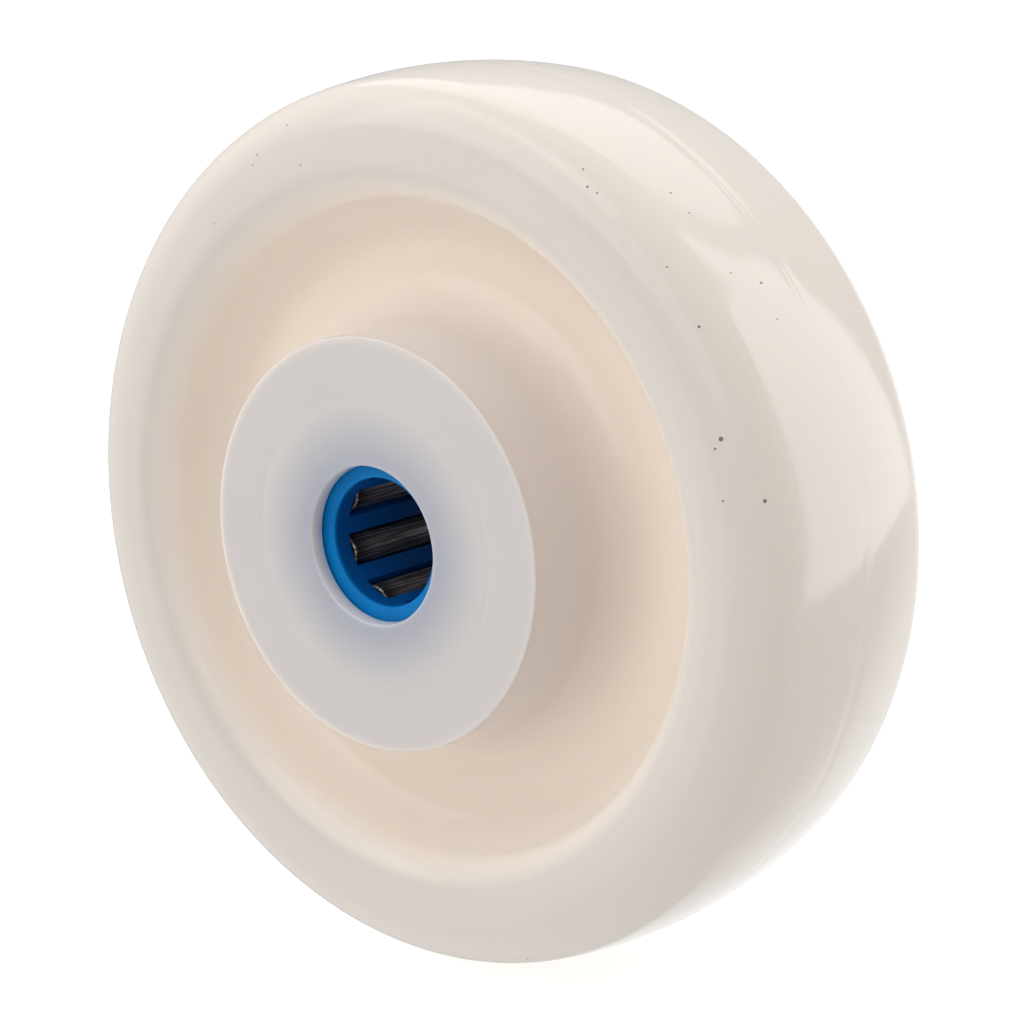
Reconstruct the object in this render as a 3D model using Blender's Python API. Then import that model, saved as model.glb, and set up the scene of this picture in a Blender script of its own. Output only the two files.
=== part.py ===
"""Solid polyamide castor wheel, 150 mm, with a caged roller bearing for a 20 mm axle.

Origin at the wheel's centre, the wheel spins about +Y, +Z is up. Lengths are in millimetres
here and turned into metres where the meshes are made. Every round body is turned about an
axis along Y from a section of (radius, y) points.
"""

import math

import bmesh
import bpy

MM = 0.001                # metres in a millimetre

# ---- rim and tread, mm ---------------------------------------------------------------------
WHEEL_R = 75.0            # tread radius at the middle
TREAD_EDGE_R = 73.59      # tread radius where the crown ends and the shoulder starts
TREAD_EDGE_Y = 15.83
SHOULDER_R = 8.6          # first shoulder arc, tangent to the crown
SHOULDER_TURN = 52.0      # degrees from the radius where the second, wider shoulder arc takes over
CREST_Y = 23.4            # widest point of the rim
RIM_LIP_R = 55.9          # where the rim's side and its inner wall would meet, unrounded
RIM_LIP_EDGE = 7.5        # the wide rounding between them
RIM_WALL_R = 52.6         # rim's sloping inner wall where it would meet the web

# ---- web, mm -------------------------------------------------------------------------------
RIM_FILLET_R = 8.0        # fillet from the web to the rim
WEB_Y = 9.0               # half thickness of the web at its thinnest
HUB_FILLET_R = 9.0        # fillet from the web to the hub

# ---- hub and bore, mm ----------------------------------------------------------------------
HUB_HALF = 29.83          # half length of the hub
HUB_R = 33.9              # hub radius at its end face
HUB_EDGE = 0.3            # rounding of the hub's outer edge
HUB_DRAFT = 2.0           # how much larger the hub's radius is at the web
MOUTH_R = 13.1            # bore mouth at the end face
MOUTH_EDGE = 0.35         # rounding of the mouth
LIP_R = 12.9              # bore mouth at the inner end of the lip
LIP_DEPTH = 2.64          # length of the lip that keeps the bearing in
RACE_R = 16.35            # raceway in the hub

# ---- bearing, mm ---------------------------------------------------------------------------
CAGE_HALF = 26.85         # half length of the cage
CAGE_IN = 10.6
CAGE_OUT = 15.8
CAGE_EDGE = 0.35
PITCH_R = (CAGE_IN + CAGE_OUT) / 2  # circle of roller axes, midway in the cage's wall
ROLLERS = 8
FIRST_ROLLER = 20.0       # degrees from +X towards +Z
ROLLER_R = 3.0
ROLLER_HALF = 23.0
ROLLER_EDGE = 0.35
POCKET_R = ROLLER_R + 0.2           # round part of a pocket
POCKET_HALF = ROLLER_HALF + 0.3     # half length of a pocket
SLOT_HALF = 2.7           # half width of the pocket's mouths, less than a roller's radius
CUTTER_MARGIN = 1.5       # how far a pocket cutter reaches past the cage's wall

# ---- segment counts ------------------------------------------------------------------------
WHEEL_STEPS = 72
CAGE_STEPS = 64
ROLLER_STEPS = 24
CROWN_STEPS = 3           # from the middle of the tread to its edge
SHOULDER_STEPS = 4
CREST_STEPS = 3           # second shoulder arc
POCKET_STEPS = 5          # each side of a pocket's round part


# ---- scene and materials -------------------------------------------------------------------
def clear_scene():
    for thing in list(bpy.data.objects):
        bpy.data.objects.remove(thing, do_unlink=True)


def material(name, colour, roughness, metallic=0.0, subsurface=0.0):
    made = bpy.data.materials.new(name)
    made.use_nodes = True
    inputs = made.node_tree.nodes["Principled BSDF"].inputs
    inputs["Base Color"].default_value = (*colour, 1.0)
    inputs["Roughness"].default_value = roughness
    inputs["Metallic"].default_value = metallic
    inputs["Subsurface Weight"].default_value = subsurface
    made.diffuse_color = (*colour, 1.0)
    return made


def nylon():
    return material("nylon", colour=(0.80, 0.76, 0.69), roughness=0.28, subsurface=0.15)


def cage_plastic():
    return material("cage_plastic", colour=(0.0, 0.16, 0.55), roughness=0.35)


def roller_steel(number):
    return material(
        f"roller_steel_{number}", colour=(0.42, 0.42, 0.43), roughness=0.3, metallic=1.0
    )


# ---- sections ------------------------------------------------------------------------------
def arc(centre, radius, start, turn, steps):
    """steps + 1 points from the angle start, through turn, both in radians."""
    angles = [start + turn * i / steps for i in range(steps + 1)]
    return [
        (centre[0] + radius * math.cos(angle), centre[1] + radius * math.sin(angle))
        for angle in angles
    ]


def direction(start, end):
    """Unit vector from start to end."""
    across, along = end[0] - start[0], end[1] - start[1]
    length = math.hypot(across, along)
    return across / length, along / length


def rounded(corners):
    """Points of a section whose corners (radius, y, fillet, steps) become tangent arcs.

    A corner with no fillet stays sharp, and the first and last must have none."""
    points = []
    for i, (r, y, fillet, steps) in enumerate(corners):
        if fillet == 0.0:
            points.append((r, y))
            continue
        before = direction((r, y), corners[i - 1])
        after = direction((r, y), corners[i + 1])
        half = math.acos(before[0] * after[0] + before[1] * after[1]) / 2
        tangent = fillet / math.tan(half)     # from the corner to where the arc touches
        reach = fillet / math.sin(half)       # from the corner to the arc's centre
        middle = direction((0.0, 0.0), (before[0] + after[0], before[1] + after[1]))
        centre_r, centre_y = r + middle[0] * reach, y + middle[1] * reach
        start, end = (
            math.atan2(y + side[1] * tangent - centre_y, r + side[0] * tangent - centre_r)
            for side in (before, after)
        )
        turn = (end - start + math.pi) % (2 * math.pi) - math.pi
        points += arc((centre_r, centre_y), fillet, start, turn, steps)
    return points


# ---- meshes --------------------------------------------------------------------------------
def new_object(name, bm, paint=None):
    bmesh.ops.recalc_face_normals(bm, faces=bm.faces)
    mesh = bpy.data.meshes.new(name)
    bm.to_mesh(mesh)
    bm.free()
    thing = bpy.data.objects.new(name, mesh)
    bpy.context.scene.collection.objects.link(thing)
    if paint is not None:
        mesh.materials.append(paint)
    return thing


def turned(name, section, steps, paint, at=(0.0, 0.0), phase=0.0):
    """Body turned about the line parallel to Y through at = (x, z), from phase in degrees.

    The section closes from its last point to its first. A solid body's section starts and
    ends on the axis (radius 0), where each end is a single vertex."""
    bm = bmesh.new()
    columns = []
    for i in range(steps):
        angle = math.radians(phase) + 2 * math.pi * i / steps
        columns.append([
            bm.verts.new((r * math.cos(angle) * MM, y * MM, r * math.sin(angle) * MM))
            if r > 0.0 else None
            for r, y in section
        ])
    for j, (r, y) in enumerate(section):
        if r == 0.0:
            pole = bm.verts.new((0.0, y * MM, 0.0))
            for column in columns:
                column[j] = pole
    for i, column in enumerate(columns):
        following = columns[(i + 1) % steps]
        for j in range(len(section)):
            k = (j + 1) % len(section)
            # A pole appears twice here. Faces beside it are triangles, and none joins two poles.
            corners = dict.fromkeys((column[j], following[j], following[k], column[k]))
            if len(corners) > 2:
                bm.faces.new(list(corners))
    thing = new_object(name, bm, paint)
    thing.location = (at[0] * MM, 0.0, at[1] * MM)
    return thing


def smooth(thing, sharp_angle):
    """Smooth shading, with edges steeper than sharp_angle degrees kept sharp."""
    for polygon in thing.data.polygons:
        polygon.use_smooth = True
    thing.data.set_sharp_from_angle(angle=math.radians(sharp_angle))


# ---- the wheel: hub, web and tread in one moulding -----------------------------------------
def tread_half():
    """Points from the middle of the tread to the crest, on the +Y side."""
    # Crown: an arc through the middle of the tread and the tread's edge.
    drop = WHEEL_R - TREAD_EDGE_R
    crown_r = (TREAD_EDGE_Y**2 + drop**2) / (2 * drop)
    slope = math.asin(TREAD_EDGE_Y / crown_r)
    crown = arc((WHEEL_R - crown_r, 0.0), crown_r, 0.0, slope, CROWN_STEPS)
    # First shoulder arc, tangent to the crown.
    centre = (
        TREAD_EDGE_R - SHOULDER_R * math.cos(slope),
        TREAD_EDGE_Y - SHOULDER_R * math.sin(slope),
    )
    turn_at = math.radians(SHOULDER_TURN)
    shoulder = arc(centre, SHOULDER_R, slope, turn_at - slope, SHOULDER_STEPS)
    # Second arc: tangent to the first at turn_at, its top at CREST_Y.
    end_r, end_y = shoulder[-1]
    wide_r = (CREST_Y - end_y) / (1 - math.sin(turn_at))
    centre = (end_r - wide_r * math.cos(turn_at), end_y - wide_r * math.sin(turn_at))
    crest = arc(centre, wide_r, turn_at, math.pi / 2 - turn_at, CREST_STEPS)
    return crown + shoulder[1:] + crest[1:]


def wheel_section():
    tread = tread_half()
    crest_r = tread[-1][0]
    lip_end = HUB_HALF - LIP_DEPTH
    # From the crest to the raceway: lip, recess, web, hub side, end face, mouth.
    side = rounded([
        # radius, y, fillet, steps
        (crest_r, CREST_Y, 0.0, 0),
        (RIM_LIP_R, CREST_Y, RIM_LIP_EDGE, 5),
        (RIM_WALL_R, WEB_Y, RIM_FILLET_R, 4),
        (HUB_R + HUB_DRAFT, WEB_Y, HUB_FILLET_R, 4),
        (HUB_R, HUB_HALF, HUB_EDGE, 2),
        (MOUTH_R, HUB_HALF, MOUTH_EDGE, 1),
        (LIP_R, lip_end, 0.0, 0),
        (RACE_R, lip_end, 0.0, 0),
    ])
    half = tread + side[1:]
    return half + [(r, -y) for r, y in reversed(half[1:])]


def build_wheel(paint):
    wheel = turned("wheel_body", wheel_section(), WHEEL_STEPS, paint)
    smooth(wheel, sharp_angle=28.0)


# ---- the bearing: one moulded cage and its rollers -----------------------------------------
def roller_angle(index):
    return math.radians(FIRST_ROLLER + 360.0 / ROLLERS * index)


def pocket_outline():
    """Points (radial, sideways): round about the roller, narrow at both mouths."""
    inner = CAGE_IN - CUTTER_MARGIN
    outer = CAGE_OUT + CUTTER_MARGIN
    opening = math.asin(SLOT_HALF / POCKET_R)
    turn = math.pi - 2 * opening
    centre = (PITCH_R, 0.0)
    return [
        (inner, -SLOT_HALF),
        *arc(centre, POCKET_R, opening - math.pi, turn, POCKET_STEPS),
        (outer, -SLOT_HALF),
        (outer, SLOT_HALF),
        *arc(centre, POCKET_R, opening, turn, POCKET_STEPS),
        (inner, SLOT_HALF),
    ]


def pocket_cutter(index):
    """Prism along Y that cuts one pocket through the cage's wall."""
    cos, sin = math.cos(roller_angle(index)), math.sin(roller_angle(index))
    places = [(r * cos - t * sin, r * sin + t * cos) for r, t in pocket_outline()]
    bm = bmesh.new()
    low, high = (
        [bm.verts.new((x * MM, y * MM, z * MM)) for x, z in places]
        for y in (-POCKET_HALF, POCKET_HALF)
    )
    bm.faces.new(low)
    bm.faces.new(list(reversed(high)))
    for j in range(len(places)):
        k = (j + 1) % len(places)
        bm.faces.new((low[j], low[k], high[k], high[j]))
    cutter = new_object(f"pocket_cutter_{index + 1}", bm)
    cutter.hide_render = True
    cutter.display_type = "WIRE"
    return cutter


def build_cage(paint):
    # The extra points midway along the bore only give the first and last corners a neighbour.
    section = rounded([
        # radius, y, fillet, steps
        (CAGE_IN, 0.0, 0.0, 0),
        (CAGE_IN, CAGE_HALF, CAGE_EDGE, 1),
        (CAGE_OUT, CAGE_HALF, CAGE_EDGE, 1),
        (CAGE_OUT, -CAGE_HALF, CAGE_EDGE, 1),
        (CAGE_IN, -CAGE_HALF, CAGE_EDGE, 1),
        (CAGE_IN, 0.0, 0.0, 0),
    ])[1:-1]
    # Turned by half a segment, so that a facet's middle faces the first roller.
    phase = FIRST_ROLLER + 180.0 / CAGE_STEPS
    cage = turned("roller_cage", section, CAGE_STEPS, paint, phase=phase)
    for index in range(ROLLERS):
        cut = cage.modifiers.new(f"pocket_{index + 1}", "BOOLEAN")
        cut.operation = "DIFFERENCE"
        cut.solver = "EXACT"
        cut.object = pocket_cutter(index)
    smooth(cage, sharp_angle=25.0)


def build_roller(index, paint):
    face_r = ROLLER_R - ROLLER_EDGE
    side_half = ROLLER_HALF - ROLLER_EDGE
    section = [
        (0.0, -ROLLER_HALF),
        (face_r, -ROLLER_HALF),
        (ROLLER_R, -side_half),
        (ROLLER_R, side_half),
        (face_r, ROLLER_HALF),
        (0.0, ROLLER_HALF),
    ]
    angle = roller_angle(index)
    at = (PITCH_R * math.cos(angle), PITCH_R * math.sin(angle))
    roller = turned(f"roller_{index + 1}", section, ROLLER_STEPS, paint, at=at)
    smooth(roller, sharp_angle=30.0)


def main():
    clear_scene()
    build_wheel(nylon())
    build_cage(cage_plastic())
    for index in range(ROLLERS):
        build_roller(index, roller_steel(index + 1))


main()
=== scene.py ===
import math

import bmesh
import bpy
from mathutils import Matrix, Vector


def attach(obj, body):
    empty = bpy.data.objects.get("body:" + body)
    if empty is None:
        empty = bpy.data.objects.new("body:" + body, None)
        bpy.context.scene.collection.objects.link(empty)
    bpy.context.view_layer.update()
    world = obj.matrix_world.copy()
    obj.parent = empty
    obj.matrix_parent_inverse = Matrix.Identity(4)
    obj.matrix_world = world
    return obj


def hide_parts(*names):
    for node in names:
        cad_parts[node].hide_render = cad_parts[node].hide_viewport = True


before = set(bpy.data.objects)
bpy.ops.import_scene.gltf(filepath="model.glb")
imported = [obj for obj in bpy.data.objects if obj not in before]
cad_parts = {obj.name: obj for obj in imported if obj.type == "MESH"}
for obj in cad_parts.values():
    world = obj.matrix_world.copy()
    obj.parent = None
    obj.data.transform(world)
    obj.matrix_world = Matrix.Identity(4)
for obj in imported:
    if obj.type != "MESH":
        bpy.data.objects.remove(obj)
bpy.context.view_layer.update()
MM = 0.001

# ---- sizes: *_R is a radius from the axle, *_HALF and *_Y a distance from the middle plane -------
WHEEL_R = 75.0
TREAD_EDGE_R = 73.59
TREAD_EDGE_Y = 15.83
SHOULDER_R = 8.6          # radius of the shoulder's first arc
SHOULDER_TURN = 52.0      # degrees at which the first arc hands over to the second
CREST_Y = 23.4            # widest place of the rim
RIM_LIP_R = 55.9
RIM_LIP_EDGE = 7.5
RIM_WALL_R = 52.6
RIM_FILLET_R = 8.0
WEB_Y = 9.0
HUB_FILLET_R = 9.0
HUB_HALF = 29.83
HUB_R = 33.9
HUB_EDGE = 0.3
HUB_DRAFT = 2.0
GROOVE_R = 24.4           # faint ring on the hub's face
GROOVE_HALF = 0.3
GROOVE_DEPTH = 0.05
MOUTH_R = 13.1
MOUTH_EDGE = 0.35
LIP_R = 12.9
LIP_EDGE = 0.12
RACE_HALF = HUB_HALF - 2.64
RACE_R = 16.35

CAGE_HALF = 26.85
CAGE_IN = 10.6
CAGE_OUT = 15.8
CAGE_EDGE = 0.35
CAGE_STEPS = 160
ROLLERS = 8
ROLLER_R = 3.0
ROLLER_HALF = 23.0
ROLLER_EDGE = 0.45
PITCH_R = (CAGE_IN + CAGE_OUT) / 2
FIRST_ROLLER = 20.0       # degrees from +X towards +Z
POCKET_R = ROLLER_R + 0.2
POCKET_HALF = ROLLER_HALF + 0.3
SLOT_HALF = 2.7           # half width of a pocket where it opens through the cage's faces
CUT_OVER = 1.5            # how far a cutter passes the cage's faces

ROLLER_ANGLES = [math.radians(FIRST_ROLLER + 360.0 / ROLLERS * i) for i in range(ROLLERS)]


# ---- mesh helpers: a section is a list of (radius, y) --------------------------------------------
def arc(centre, radius, start, turn, steps):
    angles = [start + turn * k / steps for k in range(steps + 1)]
    return [(centre[0] + radius * math.cos(a), centre[1] + radius * math.sin(a)) for a in angles]


def heading(start, end):
    """Unit direction from start to end."""
    across, along = end[0] - start[0], end[1] - start[1]
    length = math.hypot(across, along)
    return across / length, along / length


def rounded(points, arc_step):
    """Section whose corners (radius, y, fillet) become tangent arcs, arc_step degrees a chord."""
    found = []
    for i, (radius, y, fillet) in enumerate(points):
        if fillet <= 0.0 or i in (0, len(points) - 1):
            found.append((radius, y))
            continue
        back = heading(points[i], points[i - 1])
        onward = heading(points[i], points[i + 1])
        half = math.acos(max(-1.0, min(1.0, back[0] * onward[0] + back[1] * onward[1]))) / 2
        setback = fillet / math.tan(half)
        inward = heading((0.0, 0.0), (back[0] + onward[0], back[1] + onward[1]))
        centre = (
            radius + inward[0] * fillet / math.sin(half),
            y + inward[1] * fillet / math.sin(half),
        )
        start, end = (
            math.atan2(y + way[1] * setback - centre[1], radius + way[0] * setback - centre[0])
            for way in (back, onward)
        )
        turn = (end - start + math.pi) % (2 * math.pi) - math.pi
        chord = arc_step if fillet > 1.0 else max(arc_step, 15.0)
        steps = max(3, math.ceil(abs(math.degrees(turn)) / chord))
        found += arc(centre, fillet, start, turn, steps)
    return found


def divided(section, longest):
    """The section with long straight runs cut shorter, and coincident points dropped."""
    found = [section[0]]
    for radius, y in section[1:]:
        last_radius, last_y = found[-1]
        length = math.hypot(radius - last_radius, y - last_y)
        if length < 0.02:
            continue
        parts = max(1, math.ceil(length / longest))
        for k in range(1, parts + 1):
            found.append((
                last_radius + (radius - last_radius) * k / parts,
                last_y + (y - last_y) * k / parts,
            ))
    return found


def to_mesh(name, body):
    bmesh.ops.recalc_face_normals(body, faces=body.faces)
    mesh = bpy.data.meshes.new(name)
    body.to_mesh(mesh)
    body.free()
    return mesh


def link(name, data, paint=None):
    if paint:
        data.materials.append(paint)
    thing = bpy.data.objects.new(name, data)
    bpy.context.scene.collection.objects.link(thing)
    return thing


def smooth(mesh, sharp):
    """Smooth shading, with edges sharper than that many degrees kept crisp."""
    mesh.shade_smooth()
    mesh.set_sharp_from_angle(angle=math.radians(sharp))


def turned(name, section, steps, paint, at=(0.0, 0.0), ring=True, phase=0.0, sharp=35.0):
    """Body turned about the line parallel to Y through at = (x, z), with its origin there.

    A ring's section is a closed loop; otherwise it starts and ends on the line.
    """
    body = bmesh.new()
    columns, poles = [], {}
    for i in range(steps):
        angle = math.radians(phase) + 2 * math.pi * i / steps
        cosine, sine = math.cos(angle), math.sin(angle)
        column = []
        for j, (radius, y) in enumerate(section):
            if radius < 1e-9:
                if j not in poles:
                    poles[j] = body.verts.new((0.0, y * MM, 0.0))
                column.append(poles[j])
            else:
                column.append(body.verts.new((radius * cosine * MM, y * MM, radius * sine * MM)))
        columns.append(column)
    count = len(section)
    for i in range(steps):
        here, beside = columns[i], columns[(i + 1) % steps]
        for j in range(count if ring else count - 1):
            k = (j + 1) % count
            corners = list(dict.fromkeys((here[j], beside[j], beside[k], here[k])))
            if len(corners) > 2:
                body.faces.new(corners)
    mesh = to_mesh(name, body)
    thing = link(name, mesh, paint)
    thing.location = (at[0] * MM, 0.0, at[1] * MM)
    smooth(mesh, sharp)
    return thing


# ---- shader helpers ------------------------------------------------------------------------------
def put(tree, socket, value):
    """Link a socket to an output, or set its value."""
    if isinstance(value, bpy.types.NodeSocket):
        tree.links.new(value, socket)
    elif isinstance(value, tuple) and len(value) == 3 and socket.type == "RGBA":
        socket.default_value = (*value, 1.0)
    else:
        socket.default_value = value


def add_node(tree, kind, inputs, output=0, **settings):
    """Add a node and return one of its outputs."""
    node = tree.nodes.new("ShaderNode" + kind)
    for name, value in settings.items():
        setattr(node, name, value)
    for key, value in inputs.items():
        put(tree, node.inputs[key], value)
    return node.outputs[output]


def add_fade(tree, value, start, end, before, after, kind="SMOOTHSTEP"):
    """Goes from before to after while the value goes from start to end."""
    inputs = {
        "Value": value, "From Min": start, "From Max": end, "To Min": before, "To Max": after,
    }
    return add_node(tree, "MapRange", inputs, "Result", interpolation_type=kind)


def new_material(name):
    material = bpy.data.materials.new(name)
    material.use_nodes = True
    return material


def set_surface(material, values):
    tree = material.node_tree
    for name, value in values.items():
        put(tree, tree.nodes["Principled BSDF"].inputs[name], value)


class Shader:
    """Short names for building one material's node tree. Lengths are in metres."""

    def __init__(self, name):
        self.material = new_material(name)
        self.tree = self.material.node_tree
        self.coords = add_node(self.tree, "TexCoord", {}, "Object")
        self.x, self.y, self.z = add_node(self.tree, "SeparateXYZ", {0: self.coords}).node.outputs

    def math(self, operation, *values):
        return add_node(self.tree, "Math", dict(enumerate(values)), operation=operation)

    def add(self, first, second):
        return self.math("ADD", first, second)

    def times(self, first, second):
        return self.math("MULTIPLY", first, second)

    def fade(self, value, start, end, before=0.0, after=1.0):
        return add_fade(self.tree, value, start, end, before, after)

    def mixed(self, factor, first, second):
        """A number between the first and the second."""
        return self.add(
            self.times(factor, second), self.times(self.math("SUBTRACT", 1.0, factor), first)
        )

    def mix(self, factor, first, second):
        """A colour between the first and the second."""
        inputs = {0: factor, 6: first, 7: second}
        return add_node(self.tree, "Mix", inputs, 2, data_type="RGBA")

    def stretched(self, scale):
        return add_node(self.tree, "Mapping", {"Vector": self.coords, "Scale": scale})

    def noise(self, vector, scale, detail, rough, seed):
        inputs = {
            "Vector": vector, "W": seed, "Scale": scale, "Detail": detail, "Roughness": rough,
        }
        return add_node(self.tree, "TexNoise", inputs, "Fac", noise_dimensions="4D")

    def ramp(self, value, stops):
        """Colours along a value; stops are (position, (red, green, blue))."""
        low, high = stops[0][0], stops[-1][0]
        place = add_fade(self.tree, value, low, high, 0.0, 1.0, kind="LINEAR")
        colour = add_node(self.tree, "ValToRGB", {0: place})
        colour.node.color_ramp.interpolation = "LINEAR"
        elements = colour.node.color_ramp.elements
        while len(elements) > 1:
            elements.remove(elements[-1])
        for i, (at, shade) in enumerate(stops):
            share = (at - low) / (high - low)
            element = elements[0] if i == 0 else elements.new(share)
            element.position = share
            element.color = (*shade, 1.0)
        return colour

    def bump(self, height, distance, strength, normal=None):
        inputs = {"Strength": strength, "Distance": distance, "Height": height}
        if normal is not None:
            inputs["Normal"] = normal
        return add_node(self.tree, "Bump", inputs)


# ---- nylon ---------------------------------------------------------------------------------------
# Dark specks moulded into the nylon: (x, y, z, radius) in mm on the surface.
SPECKS = [
    (35.1, -20.0, 62.4, 0.22), (36.8, -21.1, 60.0, 0.26), (38.5, -20.9, 59.2, 0.20),
    (45.3, -11.6, 58.8, 0.25), (48.7, -11.5, 56.1, 0.22), (51.3, -20.5, 49.3, 0.20),
    (56.7, -11.8, 47.9, 0.22), (58.9, -7.0, 46.0, 0.32), (57.5, -20.8, 41.1, 0.30),
    (62.4, -7.7, 41.0, 0.20), (63.0, -22.5, 25.3, 0.48), (62.3, -23.0, 23.8, 0.24),
    (64.0, -23.1, 16.2, 0.24), (69.4, -20.2, 16.5, 0.40), (-24.3, -21.9, 64.9, 0.22),
    (-30.2, -22.9, 59.7, 0.22), (-30.9, -23.2, 58.0, 0.20), (-20.0, -23.3, 58.9, 0.24),
    (-39.9, -23.3, 47.6, 0.22), (-41.2, -12.0, 30.4, 0.24), (-8.0, -19.7, 33.9, 0.24),
    (0.4, -23.2, -61.5, 0.26), (24.1, -19.5, -67.8, 0.24), (-52.4, 20.6, 46.5, 0.26),
    (-66.9, 12.0, 31.6, 0.30), (-60.1, 22.9, -18.3, 0.24), (31.7, 22.9, -53.1, 0.28),
    (-74.1, -6.5, 9.8, 0.24), (58.6, 21.9, 29.4, 0.22), (-12.9, 22.9, 62.6, 0.30),
    (14.2, 9.4, 73.3, 0.24),
]

# One colour for each zone. They are tuned for this scene's light and carry painted light and shade,
# not a difference in the pigment: the warm tone of the recess stands in for light coming through the
# thin web, and the bluish tone by the bore for light from the blue cage shining into the nylon. For
# another light, one colour for the whole moulding is nearer.
HUB_FACE = (0.53, 0.50, 0.49)
HUB_SIDE = (0.67, 0.60, 0.56)
RECESS_GLOW = (0.80, 0.70, 0.60)
RIM = (0.59, 0.55, 0.51)

# (way along the section in metres, colour), from the bore to the tread.
NYLON_PAINTED_LIGHT_COLOURS = [
    (0.014, (0.35, 0.36, 0.41)), (0.023, HUB_FACE), (0.033, HUB_FACE), (0.036, HUB_SIDE),
    (0.044, HUB_SIDE), (0.058, RECESS_GLOW), (0.068, RECESS_GLOW), (0.072, (0.84, 0.77, 0.69)),
    (0.077, RIM), (0.084, RIM), (0.092, (0.73, 0.67, 0.61)),
]


def section_way(look, radius, side):
    """Way along the section: over the hub's face, down its side, across the web, up the rim."""
    side_scale, side_offset, foot_r = -0.9, 0.0608, 0.035
    web_r, web_offset, face_y = 0.042, 0.018, 0.0293
    past_foot = look.math("MAXIMUM", look.math("SUBTRACT", radius, foot_r), 0.0)
    down = look.add(look.math("MULTIPLY_ADD", side, side_scale, side_offset), past_foot)
    out = look.add(radius, web_offset)
    way = look.mixed(look.math("GREATER_THAN", radius, web_r), down, out)
    return look.mixed(look.math("GREATER_THAN", side, face_y), way, radius)


def speck_mask(look):
    marks = 0.0
    for x, y, z, size in SPECKS:
        inputs = {0: look.coords, 1: (x * MM, y * MM, z * MM)}
        apart = add_node(look.tree, "VectorMath", inputs, "Value", operation="DISTANCE")
        mark = look.fade(apart, start=size * 0.95 * MM, end=size * 0.55 * MM)
        marks = look.add(marks, mark)
    return look.math("MINIMUM", marks, 1.0)


def nylon_material():
    look = Shader("nylon")
    radius = look.math(
        "SQRT", look.add(look.times(look.x, look.x), look.times(look.z, look.z))
    )
    side = look.math("ABSOLUTE", look.y)
    base = look.ramp(section_way(look, radius, side), NYLON_PAINTED_LIGHT_COLOURS)
    # Painted light: the race wall round the cage is tinted pale blue, standing in for light from the
    # blue cage shining into the nylon round the bore.
    bore = look.times(
        look.fade(radius, start=0.0172, end=0.0164), look.fade(side, start=0.0280, end=0.0270)
    )
    base = look.mix(bore, base, (0.470, 0.560, 0.680))
    # Painted shade: the hub's sharp front edge is darkened a little, as it lets less light back out
    # than its thick middle.
    edge_shade = look.times(
        look.fade(radius, start=0.0332, end=0.0338), look.fade(radius, start=0.0348, end=0.0341)
    )
    edge_shade = look.times(edge_shade, look.fade(side, start=0.0288, end=0.0294))
    base = look.mix(look.times(edge_shade, 0.09), base, (0.36, 0.32, 0.29))
    lip = look.times(
        look.fade(radius, start=0.0148, end=0.0142), look.fade(side, start=0.0266, end=0.0272)
    )
    lip = look.times(lip, look.fade(side, start=0.02978, end=0.0296))
    base = look.mix(lip, base, (0.640, 0.622, 0.635))
    # Faint clouds of a warmer tone.
    cloud = look.noise(look.coords, scale=55.0, detail=2.0, rough=0.5, seed=3.0)
    cloud = look.times(look.fade(cloud, start=0.35, end=0.75), 0.06)
    base = look.mix(cloud, base, (0.70, 0.66, 0.58))
    marks = speck_mask(look)
    base = look.mix(marks, base, (0.17, 0.14, 0.12))

    smear = look.noise(
        look.stretched((1.0, 2.2, 1.0)), scale=60.0, detail=4.0, rough=0.6, seed=7.0
    )
    # The recess and hub are rougher than the rim and tread.
    rough = look.add(
        look.fade(smear, start=0.3, end=0.75, before=0.085, after=0.15),
        look.fade(radius, start=0.0560, end=0.0500, before=0.0, after=0.10),
    )

    waves = look.noise(look.coords, scale=42.0, detail=2.0, rough=0.5, seed=1.0)
    grain = look.noise(look.coords, scale=900.0, detail=3.0, rough=0.6, seed=2.0)
    flow = look.noise(
        look.stretched((0.30, 2.5, 0.30)), scale=85.0, detail=3.0, rough=0.55, seed=9.0
    )
    on_tread = look.mixed(look.fade(radius, start=0.0690, end=0.0720), 0.0, 0.55)
    normal = look.bump(waves, distance=0.0006, strength=0.18)
    normal = look.bump(flow, distance=0.00010, strength=on_tread, normal=normal)
    normal = look.bump(grain, distance=0.00002, strength=0.25, normal=normal)
    set_surface(look.material, {
        "Base Color": base,
        "Subsurface Weight": look.mixed(marks, 0.75, 0.0),
        "Subsurface Radius": (1.0, 0.82, 0.62),
        "Subsurface Scale": 0.004,
        "Roughness": rough,
        "IOR": 1.57,
        "Normal": normal,
    })
    return look.material


# ---- cage plastic --------------------------------------------------------------------------------
def cage_material():
    look = Shader("cage_plastic")
    mottle = look.noise(look.coords, scale=180.0, detail=3.0, rough=0.55, seed=4.0)
    blue = look.mix(
        look.fade(mottle, start=0.3, end=0.7), (0.000, 0.146, 0.405), (0.000, 0.166, 0.455)
    )
    # Painted shade: deeper inside the bore, away from the light at its ends, the blue is darkened.
    side = look.math("ABSOLUTE", look.y)
    inner_shade = look.times(look.fade(side, start=0.02668, end=0.0258), 0.80)
    grain = look.noise(look.coords, scale=1500.0, detail=3.0, rough=0.6, seed=5.0)
    set_surface(look.material, {
        "Base Color": look.mix(inner_shade, blue, (0.000, 0.050, 0.225)),
        "Roughness": look.fade(mottle, start=0.3, end=0.8, before=0.45, after=0.58),
        "Specular IOR Level": 0.10,
        "Subsurface Weight": 0.25,
        "Subsurface Radius": (0.2, 0.5, 1.0),
        "Subsurface Scale": 0.0012,
        "Normal": look.bump(grain, distance=0.00002, strength=0.4),
    })
    return look.material


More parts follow.
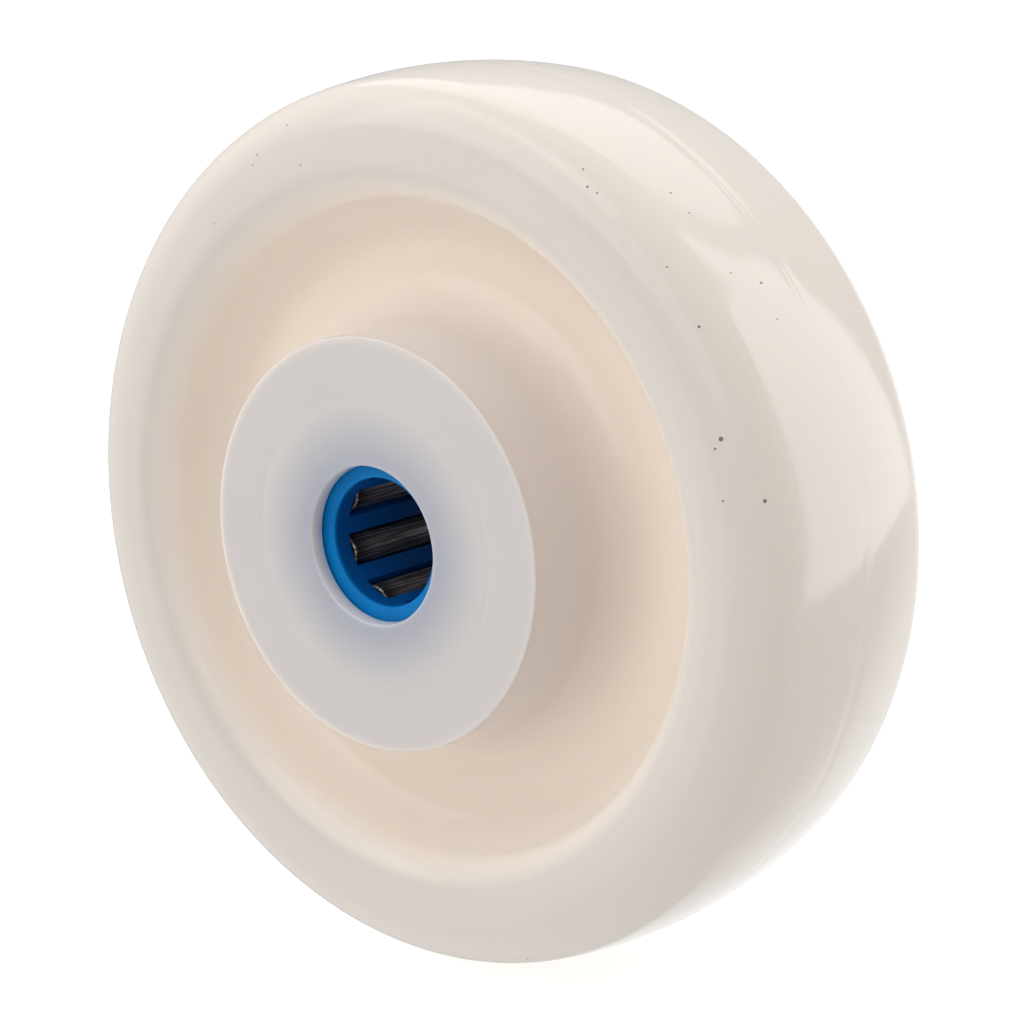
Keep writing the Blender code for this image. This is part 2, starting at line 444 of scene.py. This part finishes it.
# ---- roller steel --------------------------------------------------------------------------------
def steel_material():
    look = Shader("roller_steel")
    lines = look.noise(
        look.stretched((1.0, 0.02, 1.0)), scale=2600.0, detail=3.0, rough=0.7, seed=6.0
    )
    wear = look.noise(look.coords, scale=320.0, detail=4.0, rough=0.6, seed=8.0)
    base = look.mix(
        look.fade(lines, start=0.42, end=0.66), (0.15, 0.127, 0.117), (0.72, 0.65, 0.61)
    )
    worn = look.times(look.fade(wear, start=0.45, end=0.7), 0.35)
    base = look.mix(worn, base, (0.07, 0.060, 0.055))
    # Painted shade: the flat ends are painted dark, and the barrel near them is darkened where it
    # sits in the pocket's shade.
    side = look.math("ABSOLUTE", look.y)
    end = look.fade(side, start=0.02290, end=0.02297)
    shade = look.times(
        look.fade(side, start=0.0185, end=0.0222), look.fade(side, start=0.0227, end=0.0225)
    )
    end = look.math("MAXIMUM", end, look.times(shade, 0.8))
    set_surface(look.material, {
        "Base Color": look.mix(end, base, (0.030, 0.028, 0.028)),
        "Metallic": 0.82,
        "Roughness": look.fade(wear, start=0.3, end=0.7, before=0.30, after=0.42),
        "Normal": look.bump(lines, distance=0.00003, strength=0.5),
    })
    return look.material


# ---- the wheel -----------------------------------------------------------------------------------
# Close stations in y over the middle of the tread, where the parting line runs.
SEAM_STATIONS = [0.0, 0.08, 0.16, 0.25, 0.36, 0.5, 0.7, 0.95, 1.25]
SEAM_REACH = 1.3          # half width of the dip the ridge lies in
SEAM_DIP = 0.044
SEAM_WIDTH = 0.26         # distance in which the ridge falls to 1/e
SEAM_HEIGHT = 0.020
# Waves round the wheel: (size in mm, waves in a turn, phase in radians).
WANDER_WAVES = [(0.14, 5, 0.7), (0.08, 13, 2.1), (0.05, 31, 0.0)]
HEIGHT_WAVES = [(0.014, 9, 1.3), (0.010, 23, 0.4)]


def wheel_section():
    drop = WHEEL_R - TREAD_EDGE_R
    crown_r = (TREAD_EDGE_Y**2 + drop**2) / (2 * drop)
    slope = math.asin(TREAD_EDGE_Y / crown_r)
    crown = arc((WHEEL_R - crown_r, 0.0), crown_r, 0.0, slope, 24)
    middle = [(WHEEL_R - y * y / (2 * crown_r), y) for y in SEAM_STATIONS]
    crown = middle + [point for point in crown if point[1] > 1.6]

    # The shoulder is two tangent arcs, the second reaching the crest.
    centre = (
        TREAD_EDGE_R - SHOULDER_R * math.cos(slope), TREAD_EDGE_Y - SHOULDER_R * math.sin(slope)
    )
    turn_at = math.radians(SHOULDER_TURN)
    first = arc(centre, SHOULDER_R, slope, turn_at - slope, 16)[1:]
    end_r, end_y = first[-1]
    crest_arc_r = (CREST_Y - end_y) / (1 - math.sin(turn_at))
    centre = (end_r - crest_arc_r * math.cos(turn_at), end_y - crest_arc_r * math.sin(turn_at))
    second = arc(centre, crest_arc_r, turn_at, math.pi / 2 - turn_at, 14)[1:]

    # (radius, y, fillet) from the crest in to the race.
    inner = rounded(
        [
            (centre[0], CREST_Y, 0.0),
            (RIM_LIP_R, CREST_Y, RIM_LIP_EDGE),
            (RIM_WALL_R, WEB_Y, RIM_FILLET_R),
            (HUB_R + HUB_DRAFT, WEB_Y, HUB_FILLET_R),
            (HUB_R, HUB_HALF, HUB_EDGE),
            (GROOVE_R + GROOVE_HALF, HUB_HALF, 0.0),
            (GROOVE_R, HUB_HALF - GROOVE_DEPTH, 0.0),
            (GROOVE_R - GROOVE_HALF, HUB_HALF, 0.0),
            (MOUTH_R, HUB_HALF, MOUTH_EDGE),
            (LIP_R, RACE_HALF, LIP_EDGE),
            (RACE_R, RACE_HALF, 0.0),
        ],
        arc_step=4.0,
    )[1:]
    half = divided(crown + first + second + inner, longest=1.6)
    return half + [(radius, -y) for radius, y in reversed(half[1:])]


def wavy(angle, mean, waves):
    return sum((size * math.sin(count * angle + phase) for size, count, phase in waves), mean)


def add_parting_line(thing):
    """Shape a hair-thin uneven ridge in a shallow dip round the middle of the tread."""
    for vertex in thing.data.vertices:
        x, y, z = vertex.co
        radius = math.hypot(x, z)
        if abs(y) > SEAM_REACH * MM or radius < (WHEEL_R - 1.0) * MM:
            continue
        angle = math.atan2(z, x)
        height = wavy(angle, SEAM_HEIGHT, HEIGHT_WAVES)
        off = (y / MM - wavy(angle, 0.0, WANDER_WAVES)) / SEAM_WIDTH
        dip = SEAM_DIP * max(0.0, 1.0 - (y / MM / SEAM_REACH) ** 2)
        rise = height * math.exp(-off * off) - dip
        scale = (radius + rise * MM) / radius
        vertex.co = (x * scale, y, z * scale)


wheel = turned("wheel_moulding", wheel_section(), 280, nylon_material(), sharp=40.0)
add_parting_line(wheel)
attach(wheel, "wheel")
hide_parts("wheel_body")


# ---- the cage ------------------------------------------------------------------------------------
def pocket_outline():
    """Outline (outward, across) about the roller's axis: a round pocket with a slot each way."""
    inner = CAGE_IN - CUT_OVER - PITCH_R
    outer = CAGE_OUT + CUT_OVER - PITCH_R
    opening = math.asin(SLOT_HALF / POCKET_R)
    turn = math.pi - 2 * opening
    return [
        (inner, -SLOT_HALF),
        *arc((0.0, 0.0), POCKET_R, -math.pi + opening, turn, 10),
        (outer, -SLOT_HALF),
        (outer, SLOT_HALF),
        *arc((0.0, 0.0), POCKET_R, opening, turn, 10),
        (inner, SLOT_HALF),
    ]


def pocket_cutter(name, angle):
    cosine, sine = math.cos(angle), math.sin(angle)
    body = bmesh.new()
    ends = []
    for y in (-POCKET_HALF, POCKET_HALF):
        row = []
        for outward, across in pocket_outline():
            radius = PITCH_R + outward
            row.append(body.verts.new((
                (radius * cosine - across * sine) * MM,
                y * MM,
                (radius * sine + across * cosine) * MM,
            )))
        ends.append(row)
    near, far = ends
    body.faces.new(near)
    body.faces.new(list(reversed(far)))
    for j in range(len(near)):
        k = (j + 1) % len(near)
        body.faces.new((near[j], near[k], far[k], far[j]))
    return link(name, to_mesh(name, body))


def build_cage(paint):
    section = rounded(
        [
            (CAGE_IN, 0.0, 0.0),
            (CAGE_IN, CAGE_HALF, CAGE_EDGE),
            (CAGE_OUT, CAGE_HALF, CAGE_EDGE),
            (CAGE_OUT, -CAGE_HALF, CAGE_EDGE),
            (CAGE_IN, -CAGE_HALF, CAGE_EDGE),
            (CAGE_IN, 0.0, 0.0),
        ],
        arc_step=15.0,
    )[1:-1]
    half_step = 180.0 / CAGE_STEPS
    cage = turned("bearing_cage", section, CAGE_STEPS, paint, phase=FIRST_ROLLER + half_step)
    cutters = [pocket_cutter(f"pocket_{i + 1}", angle) for i, angle in enumerate(ROLLER_ANGLES)]
    for cutter in cutters:
        cut = cage.modifiers.new(cutter.name, "BOOLEAN")
        cut.operation = "DIFFERENCE"
        cut.solver = "EXACT"
        cut.object = cutter
    bpy.context.view_layer.update()
    evaluated = cage.evaluated_get(bpy.context.evaluated_depsgraph_get())
    made = bpy.data.meshes.new_from_object(evaluated)
    cage.modifiers.clear()
    cage.data = made
    made.name = "bearing_cage"
    for cutter in cutters:
        bpy.data.objects.remove(cutter, do_unlink=True)
    smooth(made, sharp=28.0)
    return cage


cage = build_cage(cage_material())
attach(cage, "cage")
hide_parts("roller_cage")


# ---- the rollers ---------------------------------------------------------------------------------
def roller_section():
    corners = [(0.0, ROLLER_HALF, 0.0), (ROLLER_R, ROLLER_HALF, ROLLER_EDGE), (ROLLER_R, 0.0, 0.0)]
    half = divided(rounded(corners, arc_step=12.0), longest=4.0)
    return half + [(radius, -y) for radius, y in reversed(half[:-1])]


steel = steel_material()
for i, angle in enumerate(ROLLER_ANGLES):
    roller = turned(
        f"bearing_roller_{i + 1}", roller_section(), 64, steel,
        at=(PITCH_R * math.cos(angle), PITCH_R * math.sin(angle)), ring=False, sharp=40.0,
    )
    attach(roller, f"roller_body_{i + 1}")
    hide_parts(f"roller_{i + 1}")


# ---- floor ---------------------------------------------------------------------------------------
def build_floor():
    mesh = bpy.data.meshes.new("floor")
    reach = 6.0  # metres
    z = -WHEEL_R * MM
    corners = [(-reach, -reach, z), (reach, -reach, z), (reach, reach, z), (-reach, reach, z)]
    mesh.from_pydata(corners, [], [(0, 1, 2, 3)])
    material = new_material("pale_floor")
    set_surface(material, {
        "Base Color": (0.93, 0.93, 0.93),
        "Roughness": 0.9,
        "Specular IOR Level": 0.1,
        "Emission Color": (1.0, 1.0, 1.0),
        "Emission Strength": 0.35,
    })
    thing = link("floor", mesh, material)
    thing.visible_glossy = False
    thing.visible_diffuse = False
    thing.visible_shadow = False


build_floor()


# ---- light: distances in metres, directions as degrees from +X towards +Y, and degrees up --------
def towards(azimuth, elevation):
    turn, lift = math.radians(azimuth), math.radians(elevation)
    return (math.cos(turn) * math.cos(lift), math.sin(turn) * math.cos(lift), math.sin(lift))


def scaled(tree, around, strength, direction, near, far, share):
    """The strength going to a share of itself as the cosine to a direction goes far to near."""
    cosine = add_node(
        tree, "VectorMath", {0: around, 1: direction}, "Value", operation="DOT_PRODUCT"
    )
    factor = add_fade(tree, cosine, start=far, end=near, before=1.0, after=share)
    return add_node(tree, "Math", {0: factor, 1: strength}, operation="MULTIPLY")


def build_world():
    world = bpy.data.worlds.new("studio")
    bpy.context.scene.world = world
    world.use_nodes = True
    tree = world.node_tree
    around = add_node(tree, "TexCoord", {}, "Generated")
    # Even light, dimmer low on the right in front, stronger from below on the left.
    light = scaled(tree, around, 1.14, towards(335, -12), near=0.9, far=0.1, share=0.55)
    light = scaled(tree, around, light, towards(225, -35), near=0.95, far=0.25, share=1.30)
    # The polished surface mirrors a darker room, in which the cards stand out.
    mirrored = scaled(tree, around, 0.50, towards(100, -20), near=0.97, far=0.80, share=2.30)
    glossy = add_node(tree, "LightPath", {}, "Is Glossy Ray")
    background = tree.nodes["Background"]
    strength = add_node(tree, "Mix", {0: glossy, 2: light, 3: mirrored})
    put(tree, background.inputs["Strength"], strength)
    put(tree, background.inputs["Color"], (1.0, 1.0, 1.0))


def panel(name, direction, distance, width, height, radiance):
    """A soft box facing the wheel's centre."""
    lamp = bpy.data.lights.new(name, "AREA")
    lamp.shape = "RECTANGLE"
    lamp.size, lamp.size_y = width, height
    lamp.energy = math.pi * width * height * radiance
    thing = link(name, lamp)
    outward = Vector(direction).normalized()
    thing.location = outward * distance
    thing.rotation_euler = outward.to_track_quat("Z", "Y").to_euler()
    thing.visible_camera = False


def card(name, azimuth, elevation, distance, corners, radiance, lights=True):
    """A glowing card facing the wheel; corners are (right, up) in mm as seen from behind it."""
    outward = Vector(towards(azimuth, elevation))
    turn = math.radians(azimuth)
    right = Vector((-math.sin(turn), math.cos(turn), 0.0))
    up = outward.cross(right)
    mesh = bpy.data.meshes.new(name)
    places = [outward * distance + right * (p * MM) + up * (q * MM) for p, q in corners]
    mesh.from_pydata(places, [], [tuple(range(len(corners)))])
    material = new_material(name)
    tree = material.node_tree
    tree.nodes.clear()
    glow = add_node(tree, "Emission", {"Strength": radiance})
    put(tree, tree.nodes.new("ShaderNodeOutputMaterial").inputs[0], glow)
    thing = link(name, mesh, material)
    thing.visible_camera = False
    thing.visible_shadow = False
    thing.visible_diffuse = lights


build_world()
panel("key", towards(243, 45), distance=0.60, width=0.55, height=0.50, radiance=0.75)
panel("key_core", towards(254, 50), distance=0.58, width=0.22, height=0.22, radiance=0.44)

# (name, azimuth, elevation, distance, corners, radiance, whether it lights matt surfaces)
CARDS = [
    ("card_right", 47, 0, 0.30, [
        (-115, -74), (88, -15), (64, 272), (34, 274), (42, 410), (2, 410), (-22, 272),
        (-105, 272),
    ], 1.85, True),
    ("card_back", 120, 25, 0.40, [
        (225, 100), (130, 99), (34, 120), (-73, 125), (-150, 150), (-228, 158), (-319, 215),
        (-337, 276), (-273, 336), (-146, 350), (-81, 365), (27, 465), (137, 515), (190, 410),
        (235, 290),
    ], 1.28, True),
    ("card_front", 277, 62, 0.40, [(-219, 99), (269, -330), (150, -465), (-338, -36)], 1.60, True),
    ("card_glint", 277, 62, 0.399, [(-219, 80), (262, -345), (165, -455), (-318, -30)], 0.80, False),
]
for entry in CARDS:
    card(*entry)

bpy.context.scene.view_settings.view_transform = "Standard"


# ---- camera: in front of the wheel's -Y side, to the right and a little above --------------------
CAMERA_TURN, CAMERA_LIFT = math.radians(39.359), math.radians(14.079)  # from -Y to +X, and up
# Place in wheel radii along the camera's own axes.
CAMERA_RIGHT, CAMERA_DOWN, CAMERA_BACK = 0.0506, 0.0014, 6.481


def build_camera():
    right = Vector((math.cos(CAMERA_TURN), math.sin(CAMERA_TURN), 0.0))
    back = Vector((
        math.sin(CAMERA_TURN) * math.cos(CAMERA_LIFT),
        -math.cos(CAMERA_TURN) * math.cos(CAMERA_LIFT),
        math.sin(CAMERA_LIFT),
    ))
    up = back.cross(right)
    lens = bpy.data.cameras.new("camera")
    lens.sensor_width = 36.0
    lens.lens = 101.754
    lens.clip_start, lens.clip_end = 0.01, 100.0
    camera = link("camera", lens)
    place = (right * CAMERA_RIGHT - up * CAMERA_DOWN + back * CAMERA_BACK) * WHEEL_R * MM
    turn = Matrix((right, up, back)).transposed().to_4x4()
    camera.matrix_world = Matrix.Translation(place) @ turn
    bpy.context.scene.camera = camera


build_camera()
